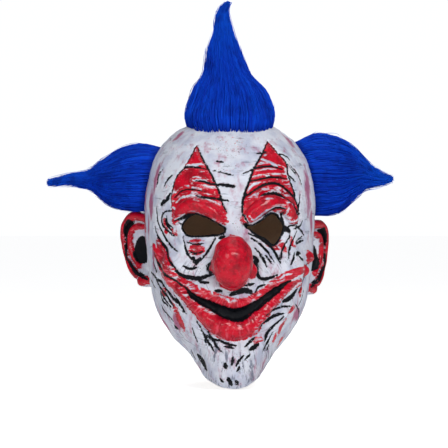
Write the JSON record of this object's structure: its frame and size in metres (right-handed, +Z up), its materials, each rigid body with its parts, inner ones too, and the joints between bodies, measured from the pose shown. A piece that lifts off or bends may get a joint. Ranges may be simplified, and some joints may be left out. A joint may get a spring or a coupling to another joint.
{
  "type": "latex clown mask",
  "caption": "Overhead latex clown mask, painted white, red and black, with a ball nose, a wide grin, open eyes and neck, large ears and blue fur tufts that spring back.",
  "frame": {"origin": "middle of the head cavity, midway between the ears at the wearer's eye level", "axes": "+Z up through the crown, -Y out through the face, +X to the right of someone looking at the face"},
  "size_m": [0.35, 0.2484, 0.386],
  "materials": {
    "painted_latex": "satin, brush-painted latex",
    "hot_melt_glue": "translucent amber",
    "knitted_backing": "flat knit",
    "blue_fur": "long-pile acrylic fur"
  },
  "bodies": {
    "mask": {"latex_shell": "painted_latex", "glue_bed_top": "hot_melt_glue", "fur_backing_top": "knitted_backing", "fur_root_top": "blue_fur", "glue_bed_left": "hot_melt_glue", "fur_backing_left": "knitted_backing", "fur_root_left": "blue_fur", "glue_bed_right": "hot_melt_glue", "fur_backing_right": "knitted_backing", "fur_root_right": "blue_fur"},
    "top_tuft_tip": {"fur_tip_top": "blue_fur"},
    "left_tuft_tip": {"fur_tip_left": "blue_fur"},
    "right_tuft_tip": {"fur_tip_right": "blue_fur"}
  },
  "joints": [
    {"name": "top_tuft_bend", "type": "hinge", "parent": "mask", "child": "top_tuft_tip", "pos_m": [-0.00167, 0, 0.15], "axis": [0, 1, 0], "range_deg": [-25, 25], "stiffness_Nm_per_rad": 0.3},
    {"name": "left_tuft_bend", "type": "hinge", "parent": "mask", "child": "left_tuft_tip", "pos_m": [-0.122, 0.006, 0.05275], "axis": [0, 1, 0], "range_deg": [-20, 20], "stiffness_Nm_per_rad": 0.25},
    {"name": "right_tuft_bend", "type": "hinge", "parent": "mask", "child": "right_tuft_tip", "pos_m": [0.123, 0.006, 0.05596], "axis": [0, 1, 0], "range_deg": [-20, 20], "stiffness_Nm_per_rad": 0.25}
  ]
}
